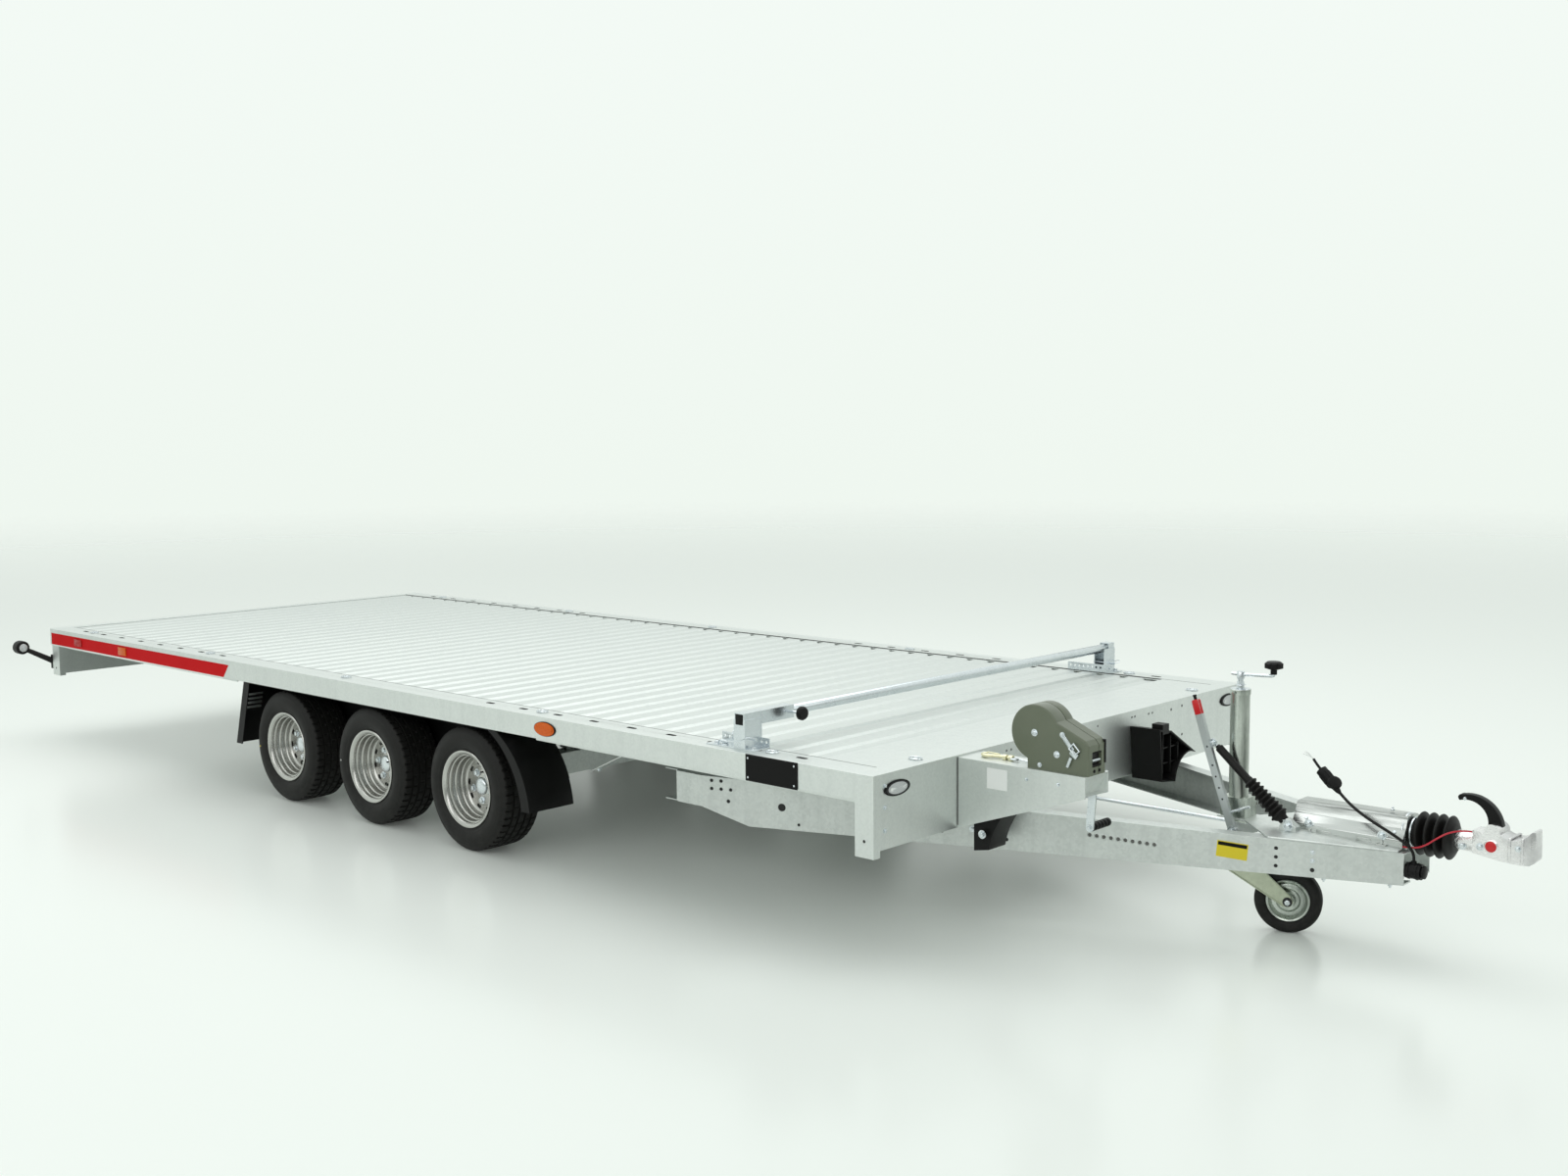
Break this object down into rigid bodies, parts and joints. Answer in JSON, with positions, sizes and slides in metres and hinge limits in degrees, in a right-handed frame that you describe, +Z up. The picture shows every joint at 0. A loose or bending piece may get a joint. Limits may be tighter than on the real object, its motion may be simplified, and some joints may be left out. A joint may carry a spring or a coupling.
{
  "type": "car transporter trailer",
  "caption": "Flatbed car transporter trailer with a ribbed steel deck, V drawbar, overrun coupling, winch, wheel stop bar and jockey wheel.",
  "frame": {"origin": "on the ground under the middle of the trailer's overall length and width", "axes": "+X forward to the coupling, +Y to the trailer's left, +Z up"},
  "size_m": [7.096, 2.558, 0.857],
  "materials": {
    "galvanised": "hot-dip galvanised sheet and sections",
    "zinc": "bright zinc plate",
    "wheel_silver": "silver wheel paint",
    "tyre": "black tyre rubber",
    "black_plastic": "black moulded plastic",
    "black_rubber": "black rubber",
    "coupling_silver": "painted casting",
    "winch_green": "olive grey paint",
    "yellow_zinc": "yellow passivated zinc",
    "amber_lens": "amber lens",
    "red_lens": "red lens",
    "red_cable": "red plastic-covered cable"
  },
  "bodies": {
    "chassis": {"axle_front": "galvanised", "axle_mid": "galvanised", "axle_rear": "galvanised", "brake_linkage": "zinc", "brake_spring": "black_rubber", "breakaway_cable": "red_cable", "chassis_beams": "galvanised", "corner_posts": "galvanised", "coupling_handle": "black_plastic", "coupling_head": "coupling_silver", "cross_members": "galvanised", "deck_floor": "galvanised", "drawbar_beam_left": "galvanised", "drawbar_beam_right": "galvanised", "drawbar_brackets": "galvanised", "edge_rail_left": "galvanised", "edge_rail_right": "galvanised", "front_panel": "galvanised", "handbrake_lever": "zinc", "jockey_crank": "zinc", "jockey_knob": "black_plastic", "jockey_tube": "zinc", "lashing_eyes": "zinc", "marker_lamps": "amber_lens", "mudguard_left": "black_plastic", "mudguard_right": "black_plastic", "outline_lamps": "black_rubber", "overrun_base": "galvanised", "overrun_bellows": "black_rubber", "overrun_housing": "zinc", "plug": "black_plastic", "plug_cable": "black_rubber", "plug_holder": "black_plastic", "rear_lamps": "red_lens", "rear_panel": "galvanised", "stop_bar": "galvanised", "stop_brackets": "zinc", "stop_knob": "black_plastic", "wheel_chocks": "black_plastic", "winch_body": "winch_green", "winch_box": "galvanised", "winch_crank": "zinc", "winch_grip": "black_plastic", "winch_hook": "yellow_zinc"},
    "wheel_rear_right": {"rim_rear_right": "wheel_silver", "tyre_rear_right": "tyre"},
    "wheel_rear_left": {"rim_rear_left": "wheel_silver", "tyre_rear_left": "tyre"},
    "wheel_mid_right": {"rim_mid_right": "wheel_silver", "tyre_mid_right": "tyre"},
    "wheel_mid_left": {"rim_mid_left": "wheel_silver", "tyre_mid_left": "tyre"},
    "wheel_front_right": {"rim_front_right": "wheel_silver", "tyre_front_right": "tyre"},
    "wheel_front_left": {"rim_front_left": "wheel_silver", "tyre_front_left": "tyre"},
    "jockey_leg": {"jockey_leg": "zinc"},
    "jockey_fork": {"jockey_fork": "zinc"},
    "jockey_wheel": {"jockey_rim": "zinc", "jockey_tyre": "tyre"}
  },
  "joints": [
    {"name": "wheel_rear_right_spin", "type": "hinge", "parent": "chassis", "child": "wheel_rear_right", "pos_m": [-1.23, -1.0145, 0.238], "axis": [0, 1, 0], "continuous": true},
    {"name": "wheel_rear_left_spin", "type": "hinge", "parent": "chassis", "child": "wheel_rear_left", "pos_m": [-1.23, 1.0145, 0.238], "axis": [0, 1, 0], "continuous": true},
    {"name": "wheel_mid_right_spin", "type": "hinge", "parent": "chassis", "child": "wheel_mid_right", "pos_m": [-0.596, -1.0145, 0.238], "axis": [0, 1, 0], "continuous": true},
    {"name": "wheel_mid_left_spin", "type": "hinge", "parent": "chassis", "child": "wheel_mid_left", "pos_m": [-0.596, 1.0145, 0.238], "axis": [0, 1, 0], "continuous": true},
    {"name": "wheel_front_right_spin", "type": "hinge", "parent": "chassis", "child": "wheel_front_right", "pos_m": [0.038, -1.0145, 0.238], "axis": [0, 1, 0], "continuous": true},
    {"name": "wheel_front_left_spin", "type": "hinge", "parent": "chassis", "child": "wheel_front_left", "pos_m": [0.038, 1.0145, 0.238], "axis": [0, 1, 0], "continuous": true},
    {"name": "jockey_lift", "type": "slide", "parent": "chassis", "child": "jockey_leg", "axis": [0, 0, 1], "range_m": [-0.11, 0.075]},
    {"name": "jockey_swivel", "type": "hinge", "parent": "jockey_leg", "child": "jockey_fork", "pos_m": [2.651, -0.058, 0.246], "axis": [0, 0, 1], "range_deg": [-180, 180]},
    {"name": "jockey_spin", "type": "hinge", "parent": "jockey_fork", "child": "jockey_wheel", "pos_m": [2.79687, 0.00005, 0.103], "axis": [-0.3697, 0.9291, 0], "continuous": true}
  ]
}
